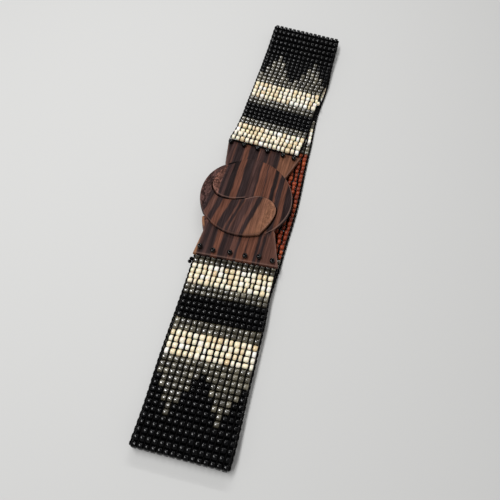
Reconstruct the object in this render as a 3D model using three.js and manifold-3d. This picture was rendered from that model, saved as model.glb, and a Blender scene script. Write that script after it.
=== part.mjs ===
// A beaded stretch belt with a two-piece carved wooden clasp, fastened and lying folded flat.
// Millimetres, +Z up. The belt's length runs along Y, its width along X, the clasp is on top.
// The band is one closed strip of bead rows: it leaves the clasp's lower half, turns round the
// near fold, runs back under the clasp, turns round the far fold and ends on the upper half.
import * as THREE from "three";
import { mergeVertices } from "three/addons/utils/BufferGeometryUtils.js";
import Module from "manifold-3d";

const wasm = await Module();
wasm.setup();

// Band
const foldedLength = 372; // outside of one fold to outside of the other
const columnCount = 15; // beads in a row
const columnPitch = 4.0; // one bead and the cord beside it
const beadDiameter = 4.0; // thickness of one layer of the band
const cordThickness = 1.6; // thickness of the band between two rows
const foldRadius = 3.2; // centre line of the band in a fold
const foldEasing = 28; // length over which a layer comes down from its fold
const pieceGap = 0.3; // air between two pieces, and between the two layers

// Clasp
const discRadius = 34.2;
const boardThickness = 3.8; // the plates
const reliefThickness = 4.4; // the two carved hooks above the plates
const footSetback = 0.5; // the disc's foot is this much smaller than its rim
const edgeRounding = 0.9;
const hookLean = 0.035; // rise of each hook's top towards its own head
const hookRamp = 0.2; // fall of each hook's tail to its own plate
const rampFoot = 28; // disc centre to where a tail's top meets its plate
const discCentreX = -7.0; // from the middle of the folds
const discCentreY = -4.6;
const upperPlateReach = 50.2; // disc centre to the plate's straight edge
const lowerPlateReach = 52.1;
const plateTrim = 0.4; // the plates are this much narrower than the band
const cordHoleRadius = 1.1;

// Stop beads on the plates
const stopDiameter = 3.6;
const stopHeight = 3.0;

// How the band's ends meet the clasp
const endRowLap = 3.1; // the band's lower end reaches this far under the lower plate
const plateRowOffset = 0.8; // the band's last row lies this far outside the upper plate's edge
const plateRowReach = 6.0; // free cords between the last row and the rows before it
const plateRowLift = 0.1; // spare height under the last row, which lies askew on the plate
const climbLength = 11.5; // length over which the band climbs onto the upper plate
const longestBareCord = 2.4; // cords between two rows that are longer than this lie straight

// Steps along the band's centre line
const lineStep = 1;
const foldSteps = 36;
const slopeStep = 0.2;

const bandWidth = columnCount * columnPitch;
const beadRadius = beadDiameter / 2;
const plateWidth = bandWidth - plateTrim;

// Plates: middle and slope of the straight edge
const plates = {
  upper: { side: 1, reach: upperPlateReach, middle: 1.7, slope: -0.069 },
  lower: { side: -1, reach: lowerPlateReach, middle: 6.0, slope: 0.080 },
};

// The plates' sides from the disc outwards, in shares of the disc's radius
const plateSides = {
  upper: {
    left: [{ across: -0.705, along: 0.812 }],
    right: [{ across: 0.722, along: 0.800 }],
  },
  lower: {
    left: [
      { across: -0.775, along: -0.715 },
      { across: -0.748, along: -0.815 },
      { across: -0.700, along: -0.935 },
      { across: -0.652, along: -1.035 },
    ],
    right: [{ across: 0.806, along: -0.700 }],
  },
};
const plateSideEnds = { // degrees round the disc at the first points
  upper: { left: 131, right: 48 },
  lower: { left: 223, right: -41 },
};

// Cord holes in each plate: place along the edge as a share of its width, distance from the edge
const cordHoles = {
  upper: [
    { along: -0.455, inset: 4.7 },
    { along: -0.270, inset: 4.5 },
    { along: -0.084, inset: 4.1 },
    { along: 0.049, inset: 3.9 },
    { along: 0.265, inset: 3.7 },
    { along: 0.413, inset: 3.6 },
  ],
  lower: [
    { along: -0.440, inset: 4.9 },
    { along: -0.278, inset: 3.4 },
    { along: -0.082, inset: 4.0 },
    { along: 0.097, inset: 3.5 },
    { along: 0.256, inset: 4.7 },
    { along: 0.415, inset: 3.3 },
  ],
};

// The carved line between the two hooks, from the upper left rim to the lower right rim,
// in shares of the disc's radius
const carvedLine = [
  { across: -0.600, along: 0.800 },
  { across: -0.715, along: 0.480 },
  { across: -0.755, along: 0.200 },
  { across: -0.740, along: 0.010 },
  { across: -0.600, along: -0.170 },
  { across: -0.390, along: -0.210 },
  { across: -0.130, along: -0.160 },
  { across: 0.110, along: -0.045 },
  { across: 0.260, along: 0.030 },
  { across: 0.420, along: 0.035 },
  { across: 0.590, along: -0.030 },
  { across: 0.705, along: -0.175 },
  { across: 0.722, along: -0.350 },
  { across: 0.665, along: -0.580 },
  { across: 0.525, along: -0.851 },
];
const carvedLineEnds = { from: 127, to: -58 }; // degrees round the disc
const carvedSteps = 44;
const tailCut = 8; // degrees left off the thin end of each tail
const rimStep = 6; // degrees between two points on the rim

// The hidden line between the two feet, from the lower left rim to the upper right rim
const footLine = [
  { across: -0.743, along: -0.669 },
  { across: -0.480, along: -0.270 },
  { across: -0.170, along: -0.060 },
  { across: 0.170, along: 0.060 },
  { across: 0.480, along: 0.270 },
  { across: 0.743, along: 0.669 },
];
const footLineEnds = { from: 222, to: 42 };
const footSteps = 20;

// Bead rows round the loop, from the lower plate by the near fold to the upper plate
const rowRuns = [
  { part: "front, clear", rows: 2, pitch: 3.9 },
  { part: "front, cream", rows: 4, pitch: 3.98 },
  { part: "front, clear", rows: 2, pitch: 3.75 },
  { part: "front, black", rows: 4, pitch: 4.32 },
  { part: "front, clear", rows: 2, pitch: 4.2 },
  { part: "front, cream", rows: 4, pitch: 4.22 },
  { part: "front, zigzag", rows: 9, pitch: 4.1 },
  { part: "near fold, black", rows: 13, pitch: 4.36 },
  { part: "back, zigzag", rows: 9, pitch: 4.1 },
  { part: "back, cream", rows: 4, pitch: 3.9 },
  { part: "back, black", rows: 4, pitch: 4.2 },
  { part: "back, clear", rows: 2, pitch: 3.95 },
  { part: "back, cream", rows: 4, pitch: 3.85 },
  { part: "back, clear", rows: 4, pitch: 3.8 },
  { part: "back, red", rows: 24, pitch: 4.06 },
  { part: "back, clear", rows: 3, pitch: 3.7 },
  { part: "back, cream", rows: 4, pitch: 4.03 },
  { part: "back, clear", rows: 2, pitch: 4.2 },
  { part: "back, black", rows: 6, pitch: 3.97 },
  { part: "back, cream", rows: 4, pitch: 4.0 },
  { part: "back, zigzag", rows: 9, pitch: 4.05 },
  { part: "far fold, black", rows: 5, pitch: 4.3 },
  { part: "far fold, loose black", rows: 6, pitch: 5.95 },
  { part: "front, zigzag", rows: 9, pitch: 4.02 },
  { part: "front, cream", rows: 4, pitch: 4.3 },
  { part: "front, clear", rows: 2, pitch: 3.8 },
  { part: "front, black", rows: 4, pitch: 4.2 },
  { part: "front, clear", rows: 2, pitch: 3.25 },
  { part: "front, cream", rows: 3, pitch: 4.73 },
];

// Where the band lies in plan: sideways shift and width in shares of the band's width, and the
// slope of its rows. Each stretch runs from share 0 to share 1 in the loop's direction.
const course = [
  { stretch: "nearFront", share: 0.18, shift: -0.012, width: 0.990, slope: 0.066 },
  { stretch: "nearFront", share: 0.36, shift: 0.010, width: 0.992, slope: 0.064 },
  { stretch: "nearFront", share: 0.60, shift: 0.012, width: 1.003, slope: 0.062 },
  { stretch: "nearFront", share: 0.95, shift: 0.020, width: 1.020, slope: 0.028 },
  { stretch: "back", share: 0.05, shift: 0.010, width: 1.010, slope: 0.020 },
  { stretch: "back", share: 0.35, shift: 0.007, width: 1.000, slope: 0.000 },
  { stretch: "back", share: 0.50, shift: 0.032, width: 1.000, slope: 0.000 },
  { stretch: "back", share: 0.65, shift: 0.010, width: 0.993, slope: -0.020 },
  { stretch: "back", share: 0.75, shift: -0.013, width: 0.993, slope: -0.030 },
  { stretch: "back", share: 0.95, shift: 0.007, width: 1.007, slope: -0.040 },
  { stretch: "farFront", share: 0.10, shift: 0.008, width: 1.013, slope: -0.040 },
  { stretch: "farFront", share: 0.35, shift: 0.003, width: 1.010, slope: -0.040 },
  { stretch: "farFront", share: 0.50, shift: -0.027, width: 0.967, slope: -0.035 },
  { stretch: "farFront", share: 0.75, shift: -0.048, width: 0.957, slope: -0.045 },
];
const nearEndOfCourse = { width: 0.993, slope: 0.075 };
const farEndOfCourse = { width: 0.947, slope: -0.030 };

// Colours and finish
const finishes = {
  beads: { color: 0x14141a, roughness: 0.25, metalness: 0 },
  woodUpper: { color: 0x5a3b32, roughness: 0.45, metalness: 0 },
  woodLower: { color: 0x64412f, roughness: 0.45, metalness: 0 },
  stop: { color: 0x0c0c0e, roughness: 0.2, metalness: 0 },
};

const radians = (degrees) => (degrees * Math.PI) / 180;
const ease = (t) => t * t * (3 - 2 * t);
const clamp01 = (t) => Math.min(1, Math.max(0, t));

// Heights of the two layers' centre lines, and of the clasp's underside at its two edges
const backHeight = beadRadius;
const frontHeight = 3 * beadRadius + pieceGap;
const upperEdgeHeight = beadDiameter + pieceGap;
const lowerEdgeHeight = 2 * beadDiameter + 2 * pieceGap;
const claspTilt = Math.atan((lowerEdgeHeight - upperEdgeHeight) / (upperPlateReach + lowerPlateReach));
const plateTopHeight = upperEdgeHeight + boardThickness;
const plateRowHeight = plateTopHeight + pieceGap + beadRadius + plateRowLift;

const upperEdgeY = discCentreY + upperPlateReach;
const lowerEdgeY = discCentreY - lowerPlateReach;
const foldCentreY = foldedLength / 2 - beadRadius - foldRadius;

// The band's centre line in the YZ plane, as a list of points with their distance along it
function centreLine() {
  const points = [];
  const foldTop = backHeight + 2 * foldRadius;
  const bulge = (y) => ease(clamp01((Math.abs(y) - foldCentreY + foldEasing) / foldEasing));
  const addStretch = (stretch, count, place) => {
    for (let i = 0; i <= count; i += 1) {
      points.push({ stretch, share: i / count, ...place(i / count) });
    }
  };
  const nearStart = lowerEdgeY + endRowLap;
  const nearRun = nearStart + foldCentreY;
  addStretch("nearFront", Math.ceil(nearRun / lineStep), (t) => {
    const y = nearStart - t * nearRun;
    return { y, z: frontHeight + (foldTop - frontHeight) * bulge(y) };
  });
  const turn = (side) => (t) => {
    const angle = side > 0 ? -Math.PI / 2 + t * Math.PI : Math.PI / 2 + t * Math.PI;
    return {
      y: side * foldCentreY + foldRadius * Math.cos(angle),
      z: backHeight + foldRadius + foldRadius * Math.sin(angle),
    };
  };
  addStretch("nearFold", foldSteps, turn(-1));
  addStretch("back", Math.ceil((2 * foldCentreY) / lineStep), (t) => {
    return { y: (2 * t - 1) * foldCentreY, z: backHeight };
  });
  addStretch("farFold", foldSteps, turn(1));
  const farEnd = upperEdgeY + plateRowOffset;
  const farRun = foldCentreY - farEnd;
  addStretch("farFront", Math.ceil(farRun / lineStep), (t) => {
    const y = foldCentreY - t * farRun;
    const climb = ease(clamp01((farEnd + climbLength - y) / climbLength));
    const lying = frontHeight + (foldTop - frontHeight) * bulge(y);
    return { y, z: lying + (plateRowHeight - frontHeight) * climb };
  });
  const gapTo = (a, b) => Math.hypot(b.y - a.y, b.z - a.z);
  const line = points.filter((p, i) => i === 0 || gapTo(points[i - 1], p) > 1e-6);
  line[0].distance = 0;
  for (let i = 1; i < line.length; i += 1) {
    line[i].distance = line[i - 1].distance + gapTo(line[i - 1], line[i]);
  }
  return line;
}

const bandLine = centreLine();
const lineLength = bandLine[bandLine.length - 1].distance;

// Place on the centre line at a distance along it, going straight on past either end
function pointAt(distance) {
  let i = 1;
  while (i < bandLine.length - 1 && bandLine[i].distance < distance) {
    i += 1;
  }
  const a = bandLine[i - 1];
  const b = bandLine[i];
  const t = (distance - a.distance) / (b.distance - a.distance);
  return { y: a.y + t * (b.y - a.y), z: a.z + t * (b.z - a.z) };
}

function distanceAt(stretch, share) {
  const points = bandLine.filter((p) => p.stretch === stretch);
  const first = points[0].distance;
  const last = points[points.length - 1].distance;
  return first + share * (last - first);
}

// The plan course with its two ends tied to the plates' edges
const courseStations = [
  { distance: 0, shift: (discCentreX + plates.lower.middle) / bandWidth, ...nearEndOfCourse },
  ...course.map((row) => ({ ...row, distance: distanceAt(row.stretch, row.share) })),
  { distance: lineLength, shift: (discCentreX + plates.upper.middle) / bandWidth, ...farEndOfCourse },
];

function courseAt(distance) {
  let i = 1;
  while (i < courseStations.length - 1 && courseStations[i].distance < distance) {
    i += 1;
  }
  const a = courseStations[i - 1];
  const b = courseStations[i];
  const t = ease(clamp01((distance - a.distance) / (b.distance - a.distance)));
  const mix = (key) => a[key] + t * (b[key] - a[key]);
  return { shift: mix("shift") * bandWidth, width: mix("width") * bandWidth, slope: mix("slope") };
}

// Distances of all row centres along the loop. The runs are stretched together, as the elastic
// cords stretch them, so that they fill the loop.
function rowCentres() {
  const runLength = rowRuns.reduce((sum, run) => sum + run.rows * run.pitch, 0);
  const stretch = (lineLength - plateRowReach) / runLength;
  const rows = [];
  let start = 0;
  for (const run of rowRuns) {
    const pitch = run.pitch * stretch;
    for (let i = 0; i < run.rows; i += 1) {
      rows.push(start + (i + 0.5) * pitch);
    }
    start += run.rows * pitch;
  }
  rows.push(lineLength);
  return rows;
}

// The band: a strip whose section is a bar across the belt, thick at each row of beads and thin
// at the cords between two rows. A row's top and bottom are flat, as an octagon's are.
function bandGeometry() {
  const flat = beadRadius * Math.tan(Math.PI / 8);
  const rows = rowCentres();
  const stations = [{ at: rows[0] - beadRadius, half: cordThickness / 2 }];
  rows.forEach((row, i) => {
    stations.push({ at: row - flat, half: beadRadius });
    stations.push({ at: row + flat, half: beadRadius });
    const next = rows[i + 1];
    const isLast = next === undefined;
    if (isLast || next - row > beadDiameter + longestBareCord) {
      stations.push({ at: row + beadRadius, half: cordThickness / 2 });
    }
    if (!isLast && next - row > beadDiameter + longestBareCord) {
      stations.push({ at: next - beadRadius, half: cordThickness / 2 });
    } else if (!isLast) {
      stations.push({ at: (row + next) / 2, half: cordThickness / 2 });
    }
  });

  const positions = [];
  for (const station of stations) {
    const here = pointAt(station.at);
    const before = pointAt(station.at - slopeStep);
    const after = pointAt(station.at + slopeStep);
    const run = Math.hypot(after.y - before.y, after.z - before.z);
    const normal = { y: (after.z - before.z) / run, z: -(after.y - before.y) / run };
    const place = courseAt(station.at);
    for (const [side, face] of [[-1, 1], [1, 1], [1, -1], [-1, -1]]) {
      const across = (side * place.width) / 2;
      positions.push(
        place.shift + across,
        here.y + across * place.slope + face * station.half * normal.y,
        here.z + face * station.half * normal.z,
      );
    }
  }

  const index = [];
  const quad = (a, b, c, d) => index.push(a, c, b, a, d, c);
  for (let i = 0; i + 1 < stations.length; i += 1) {
    for (let side = 0; side < 4; side += 1) {
      const next = (side + 1) % 4;
      quad(4 * i + side, 4 * i + next, 4 * (i + 1) + next, 4 * (i + 1) + side);
    }
  }
  const last = 4 * (stations.length - 1);
  quad(3, 2, 1, 0);
  quad(last, last + 1, last + 2, last + 3);
  const geometry = new THREE.BufferGeometry();
  geometry.setAttribute("position", new THREE.Float32BufferAttribute(positions, 3));
  geometry.setIndex(index);
  return geometry;
}

// Solids and meshes
function solidOf(geometry) {
  const bare = geometry.clone();
  bare.deleteAttribute("normal");
  bare.deleteAttribute("uv");
  const merged = mergeVertices(bare, 1e-4);
  return new wasm.Manifold(new wasm.Mesh({
    numProp: 3,
    vertProperties: Float32Array.from(merged.attributes.position.array),
    triVerts: Uint32Array.from(merged.index.array),
  }));
}

function geometryOf(solid) {
  const mesh = solid.getMesh();
  const geometry = new THREE.BufferGeometry();
  geometry.setAttribute("position", new THREE.Float32BufferAttribute(mesh.vertProperties, 3));
  geometry.setIndex(Array.from(mesh.triVerts));
  return geometry;
}

function meshOf(name, geometry, finish) {
  geometry.computeVertexNormals();
  const mesh = new THREE.Mesh(geometry, new THREE.MeshStandardMaterial(finish));
  mesh.name = name;
  return mesh;
}

// Plan outlines on the clasp, with the disc's centre as origin
const onDisc = (degrees, radius) =>
  new THREE.Vector2(radius * Math.cos(radians(degrees)), radius * Math.sin(radians(degrees)));

const inDisc = ({ across, along }) => new THREE.Vector2(across * discRadius, along * discRadius);

// Points on the rim between two directions, without the two ends
function rimPoints(fromDegrees, toDegrees, radius) {
  const count = Math.round(Math.abs(toDegrees - fromDegrees) / rimStep);
  return Array.from({ length: Math.max(0, count - 1) }, (_, i) =>
    onDisc(fromDegrees + ((i + 1) / count) * (toDegrees - fromDegrees), radius));
}

// A line through the table's points, moved sideways: positive to the left of its direction
function linePoints(table, count, offset, radius) {
  const curve = new THREE.SplineCurve(table.map((p) =>
    new THREE.Vector2(p.across * radius, p.along * radius)));
  return curve.getPoints(count).map((point, i) => {
    const tangent = curve.getTangent(i / count);
    return new THREE.Vector2(point.x - offset * tangent.y, point.y + offset * tangent.x);
  });
}

// Foot of a half: its plate and its share of the disc up to the hidden line
function footOutline(which) {
  const plate = plates[which];
  const radius = discRadius - footSetback;
  const half = plateWidth / 2;
  const corner = (across) =>
    new THREE.Vector2(plate.middle + across, plate.side * plate.reach + across * plate.slope);
  const left = plateSides[which].left.map(inDisc);
  const right = plateSides[which].right.map(inDisc);
  const ends = plateSideEnds[which];
  const line = linePoints(footLine, footSteps, (plate.side * pieceGap) / 2, radius);
  if (which === "upper") {
    return [
      ...left,
      corner(-half),
      corner(half),
      ...right.reverse(),
      ...rimPoints(ends.right, footLineEnds.to, radius),
      ...line.reverse(),
      ...rimPoints(footLineEnds.from, ends.left, radius),
    ];
  }
  return [
    ...right,
    corner(half),
    corner(-half),
    ...left.reverse(),
    ...rimPoints(ends.left, footLineEnds.from, radius),
    ...line,
    ...rimPoints(footLineEnds.to, ends.right, radius),
  ];
}

// Hook of a half: the disc on its side of the carved line, with the thin end of its tail cut off
function hookOutline(which) {
  const { from, to } = carvedLineEnds;
  if (which === "upper") {
    const line = linePoints(carvedLine, carvedSteps, -pieceGap / 2, discRadius);
    return [...line.slice(2), ...rimPoints(to + 360, from + tailCut, discRadius)];
  }
  const line = linePoints(carvedLine, carvedSteps, pieceGap / 2, discRadius);
  return [...line.slice(0, -2), ...rimPoints(to + tailCut, from, discRadius)];
}

// Everything on the other half's side of the hidden line, with the gap kept from it
function footZone(which) {
  const beyond = 3;
  const side = plates[which].side;
  const line = linePoints(footLine, footSteps, (-side * pieceGap) / 2, discRadius - footSetback);
  const first = line[0].clone().multiplyScalar(beyond);
  const last = line[line.length - 1].clone().multiplyScalar(beyond);
  const far = 1.2 * beyond * discRadius;
  const corners = side > 0
    ? [[last.x, far], [-far, far], [-far, first.y]]
    : [[far, last.y], [far, -far], [first.x, -far]];
  return [first, ...line, last, ...corners.map(([x, y]) => new THREE.Vector2(x, y))];
}

function prism(outline, bottom, top, rounding) {
  const shape = new THREE.Shape(outline);
  const geometry = new THREE.ExtrudeGeometry(shape, {
    depth: top - bottom - 2 * rounding,
    curveSegments: 1,
    bevelEnabled: rounding > 0,
    bevelThickness: rounding,
    bevelSize: rounding,
    bevelOffset: -rounding,
    bevelSegments: 2,
  });
  geometry.translate(0, 0, bottom + rounding);
  return geometry;
}

function hookSolid(which) {
  const side = plates[which].side;
  const bottom = edgeRounding;
  const top = boardThickness + reliefThickness;
  const geometry = prism(hookOutline(which), bottom, top, edgeRounding);
  const position = geometry.attributes.position;
  const middle = (bottom + top) / 2;
  for (let i = 0; i < position.count; i += 1) {
    if (position.getZ(i) > middle) {
      position.setZ(i, position.getZ(i) + side * hookLean * position.getX(i));
    }
  }
  const ramp = new THREE.BoxGeometry(6 * discRadius, 6 * discRadius, 4 * discRadius);
  ramp.translate(0, 0, 2 * discRadius);
  ramp.rotateX(-side * Math.atan(hookRamp));
  ramp.translate(0, side * rampFoot, boardThickness);
  return solidOf(geometry).subtract(solidOf(ramp));
}

function halfSolid(which) {
  const other = which === "upper" ? "lower" : "upper";
  const foot = solidOf(prism(footOutline(which), 0, boardThickness, edgeRounding));
  const otherFoot = solidOf(prism(footZone(other), -1, boardThickness + pieceGap, 0));
  let solid = foot.add(hookSolid(which).subtract(otherFoot));
  for (const hole of holePlaces(which)) {
    const drill = new THREE.CylinderGeometry(cordHoleRadius, cordHoleRadius, 3 * boardThickness, 12);
    drill.rotateX(Math.PI / 2);
    drill.translate(hole.x, hole.y, boardThickness / 2);
    solid = solid.subtract(solidOf(drill));
  }
  return solid;
}

function holePlaces(which) {
  const plate = plates[which];
  return cordHoles[which].map((hole) => {
    const across = hole.along * plateWidth;
    const edge = plate.side * plate.reach + across * plate.slope;
    return new THREE.Vector2(plate.middle + across, edge - plate.side * hole.inset);
  });
}

function stopGeometry() {
  const r = stopDiameter / 2;
  const h = stopHeight / 2;
  const profile = [[0, -h], [0.6 * r, -h], [r, -0.45 * h], [r, 0.45 * h], [0.6 * r, h], [0, h]];
  const geometry = new THREE.LatheGeometry(profile.map(([x, y]) => new THREE.Vector2(x, y)), 12);
  geometry.rotateX(Math.PI / 2);
  return geometry;
}

// The clasp, tilted so that its upper edge rests on the back layer and its lower edge on the
// band's end
function buildClasp() {
  const clasp = new THREE.Group();
  const halves = { upper: finishes.woodUpper, lower: finishes.woodLower };
  for (const [which, finish] of Object.entries(halves)) {
    clasp.add(meshOf(`clasp_half_${which}`, geometryOf(halfSolid(which)), finish));
    holePlaces(which).forEach((hole, i) => {
      const stop = meshOf(`stop_bead_${which}_${i + 1}`, stopGeometry(), finishes.stop);
      stop.position.set(hole.x, hole.y, boardThickness + pieceGap + stopHeight / 2);
      clasp.add(stop);
    });
  }
  clasp.rotation.x = -claspTilt;
  const middleReach = (upperPlateReach - lowerPlateReach) / 2;
  const middleHeight = (upperEdgeHeight + lowerEdgeHeight) / 2;
  clasp.position.set(discCentreX, discCentreY, middleHeight + middleReach * Math.tan(claspTilt));
  return clasp;
}

const belt = new THREE.Group();
belt.add(meshOf("beaded_band", bandGeometry(), finishes.beads));
belt.add(buildClasp());

// The origin is the middle of the belt's box at the surface it lies on
const model = new THREE.Group();
model.add(belt);
const box = new THREE.Box3().setFromObject(model, true);
const centre = box.getCenter(new THREE.Vector3());
belt.position.set(-centre.x, -centre.y, -box.min.z);

export default model;
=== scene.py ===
"""Looks of a beaded stretch belt with a carved wooden clasp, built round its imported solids.

Sizes are in millimetres, as on a drawing, and turn into metres where a mesh is made. Belt
coordinates have their origin at the middle of the two folds, clasp coordinates at the centre
of the carved disc. Most sizes and tables are those that shape the solids. Where the photo asks
for it they depart a little: the back layer's course, the last rows on the climb to the upper
plate, the carved line with its gaps, and the hooks' points.
"""
import math
from collections import namedtuple

import bpy
import numpy as np
from mathutils import Matrix, Vector
from mathutils.geometry import delaunay_2d_cdt


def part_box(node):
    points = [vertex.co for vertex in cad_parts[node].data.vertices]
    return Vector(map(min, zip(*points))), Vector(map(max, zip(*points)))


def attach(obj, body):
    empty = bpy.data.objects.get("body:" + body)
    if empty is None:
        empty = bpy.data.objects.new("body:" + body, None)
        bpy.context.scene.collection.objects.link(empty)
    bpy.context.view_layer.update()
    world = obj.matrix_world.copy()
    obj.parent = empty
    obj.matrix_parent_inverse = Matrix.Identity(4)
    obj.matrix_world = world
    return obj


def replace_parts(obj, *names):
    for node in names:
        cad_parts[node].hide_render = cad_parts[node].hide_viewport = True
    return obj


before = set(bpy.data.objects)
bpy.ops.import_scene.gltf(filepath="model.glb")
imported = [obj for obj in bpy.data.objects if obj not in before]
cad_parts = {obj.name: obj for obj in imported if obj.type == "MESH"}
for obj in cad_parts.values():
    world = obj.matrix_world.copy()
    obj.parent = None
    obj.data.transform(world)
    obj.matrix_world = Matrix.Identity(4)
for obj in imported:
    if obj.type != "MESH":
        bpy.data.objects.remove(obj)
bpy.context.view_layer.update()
BODY = "root"
MM = 0.001
RANDOM = np.random.default_rng(11)

# Band
FOLDED_LENGTH = 372.0
COLUMN_COUNT = 15
COLUMN_PITCH = 4.0
BEAD_DIAMETER = 4.0
FOLD_RADIUS = 3.2
FOLD_EASING = 28.0
PIECE_GAP = 0.3
END_ROW_LAP = 3.1
PLATE_ROW_OFFSET = 0.8
PLATE_ROW_REACH = 4.9
PLATE_ROW_LIFT = 0.1
CLIMB_LENGTH = 11.5
BAND_WIDTH = COLUMN_COUNT * COLUMN_PITCH
BEAD_RADIUS = BEAD_DIAMETER / 2

# Clasp
DISC_RADIUS = 34.2
BOARD_THICKNESS = 3.8
RELIEF_THICKNESS = 4.4
FOOT_SETBACK = 0.5
HOOK_LEAN = 0.035
HOOK_RAMP = 0.2
RAMP_FOOT = 31.0
DISC_CENTRE = (-7.0, -4.6)
UPPER_PLATE_REACH = 50.2
LOWER_PLATE_REACH = 52.1
PLATE_WIDTH = BAND_WIDTH - 0.4
CORD_HOLE_RADIUS = 1.1
STOP_DIAMETER = 3.6
STOP_HEIGHT = 3.0
STOP_HOLE_RADIUS = 0.5
STOP_ROUNDNESS = 0.75
STOP_SIDES = 24
STOP_PROFILE_STEPS = 12
STOP_CORD_RADIUS = 0.46
STOP_CORD_RISE = 0.15
STOP_CORD_DROP = 0.15
DRILL_SIDES = 16

Plate = namedtuple("Plate", "side reach middle slope")
PLATES = {
    "upper": Plate(side=1, reach=UPPER_PLATE_REACH, middle=1.7, slope=-0.069),
    "lower": Plate(side=-1, reach=LOWER_PLATE_REACH, middle=6.0, slope=0.080),
}

# Sides of the plates from the disc outwards, in shares of the disc's radius, and the directions
# in degrees where they leave the rim
PLATE_SIDES = {
    "upper": {"left": [(-0.705, 0.812)], "right": [(0.722, 0.800)]},
    "lower": {
        "left": [(-0.775, -0.715), (-0.748, -0.815), (-0.700, -0.935), (-0.652, -1.035)],
        "right": [(0.806, -0.700)],
    },
}
PLATE_SIDE_ENDS = {"upper": {"left": 131, "right": 48}, "lower": {"left": 223, "right": -41}}

# Cord holes: place along the edge as a share of the plate's width, distance from the edge
CORD_HOLES = {
    "upper": [(-0.455, 4.7), (-0.270, 4.5), (-0.084, 4.1), (0.049, 3.9), (0.265, 3.7), (0.413, 3.6)],
    "lower": [(-0.440, 4.9), (-0.278, 3.4), (-0.082, 4.0), (0.097, 3.5), (0.256, 4.7), (0.415, 3.3)],
}

# The carved line between the two hooks, in shares of the disc's radius
CARVED_LINE = [
    (-0.600, 0.800), (-0.725, 0.480), (-0.785, 0.200), (-0.770, 0.010), (-0.615, -0.165),
    (-0.390, -0.210), (-0.130, -0.160), (0.110, -0.045), (0.260, 0.030), (0.420, 0.035),
    (0.590, -0.030), (0.705, -0.175), (0.722, -0.350), (0.665, -0.580), (0.525, -0.851),
]
# Gap between the two hooks at each of the line's points, in millimetres
CARVED_GAPS = [
    0.06, 0.06, 0.30, 1.10, 1.50, 1.50, 1.20, 0.15, 0.06, 0.06, 0.20, 0.80, 1.20, 1.20, 0.70]
CARVED_LINE_ENDS = (127, -58)
TAIL_CUT_DEGREES = 4
TAIL_CUT_SHARE = 1 / 44

# The hidden line between the two feet
FOOT_LINE = [
    (-0.743, -0.669), (-0.480, -0.270), (-0.170, -0.060),
    (0.170, 0.060), (0.480, 0.270), (0.743, 0.669),
]
FOOT_LINE_ENDS = (222, 42)
FOOT_LINE_STEPS = 60

# Bead rows round the loop, from the lower plate by the near fold to the upper plate: how many
# rows have a pattern, their pitch, and the share of it that a bead takes up
RowRun = namedtuple("RowRun", "layer pattern rows pitch fill", defaults=[0.98])
ROW_TABLE = [
    ("front", [
        ("clear", 2, 3.9), ("cream", 4, 3.98, 0.95), ("clear", 2, 3.75), ("black", 4, 4.32),
        ("clear", 2, 4.2), ("cream", 4, 4.22, 0.93), ("zigzag out", 9, 4.1, 0.94),
        ("black", 6, 4.36),
    ]),
    ("back", [
        ("black", 7, 4.36), ("zigzag in", 9, 4.1), ("cream", 4, 3.9), ("black", 4, 4.2),
        ("clear", 2, 3.95), ("cream", 4, 3.85), ("clear", 4, 3.8), ("red", 24, 4.06),
        ("clear", 3, 3.7), ("cream", 4, 4.03), ("clear", 2, 4.2), ("black", 6, 3.97),
        ("cream", 4, 4.0), ("zigzag out", 9, 4.05), ("black", 5, 4.3),
    ]),
    ("front", [
        ("black", 6, 5.95, 0.74), ("zigzag in", 9, 4.02, 0.86), ("cream", 4, 4.3, 0.92),
        ("clear", 2, 3.8, 0.88), ("black", 4, 4.2, 0.90), ("clear", 2, 3.25),
        ("cream", 3, 5.08, 0.92),
    ]),
]
ROW_RUNS = [RowRun(layer, *run) for layer, runs in ROW_TABLE for run in runs]

# How many beads of each column are clear in the zigzag, counted from its cream band
ZIGZAG_HEIGHTS = [3, 5, 7, 9, 7, 5, 3, 2, 3, 5, 7, 9, 7, 5, 3]

# Where the band lies in plan: at a share of each stretch, its shift and width in shares of its
# width, and the rows' slope
Course = namedtuple("Course", "stretch share shift width slope")
COURSE_TABLE = {
    "near front": [
        (0.00, (DISC_CENTRE[0] + PLATES["lower"].middle) / BAND_WIDTH, 0.993, 0.075),
        (0.18, -0.012, 0.990, 0.066), (0.36, 0.010, 0.992, 0.064), (0.60, 0.012, 1.003, 0.062),
        (0.95, 0.020, 1.020, 0.028),
    ],
    "back": [
        (0.05, -0.005, 1.010, 0.020), (0.15, -0.022, 1.003, 0.015), (0.28, -0.022, 1.000, 0.005),
        (0.38, 0.010, 1.000, 0.000), (0.50, 0.032, 1.000, 0.000), (0.65, 0.010, 0.993, -0.020),
        (0.76, -0.012, 0.993, -0.030), (0.86, 0.027, 0.995, -0.036), (0.95, 0.007, 1.007, -0.040),
    ],
    "far front": [
        (0.10, 0.008, 1.013, -0.040), (0.35, 0.003, 1.010, -0.040), (0.50, -0.027, 0.967, -0.035),
        (0.75, -0.048, 0.957, -0.045),
        (1.00, (DISC_CENTRE[0] + PLATES["upper"].middle) / BAND_WIDTH, 0.947, -0.030),
    ],
}
COURSE = [Course(stretch, *row) for stretch, rows in COURSE_TABLE.items() for row in rows]

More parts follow.
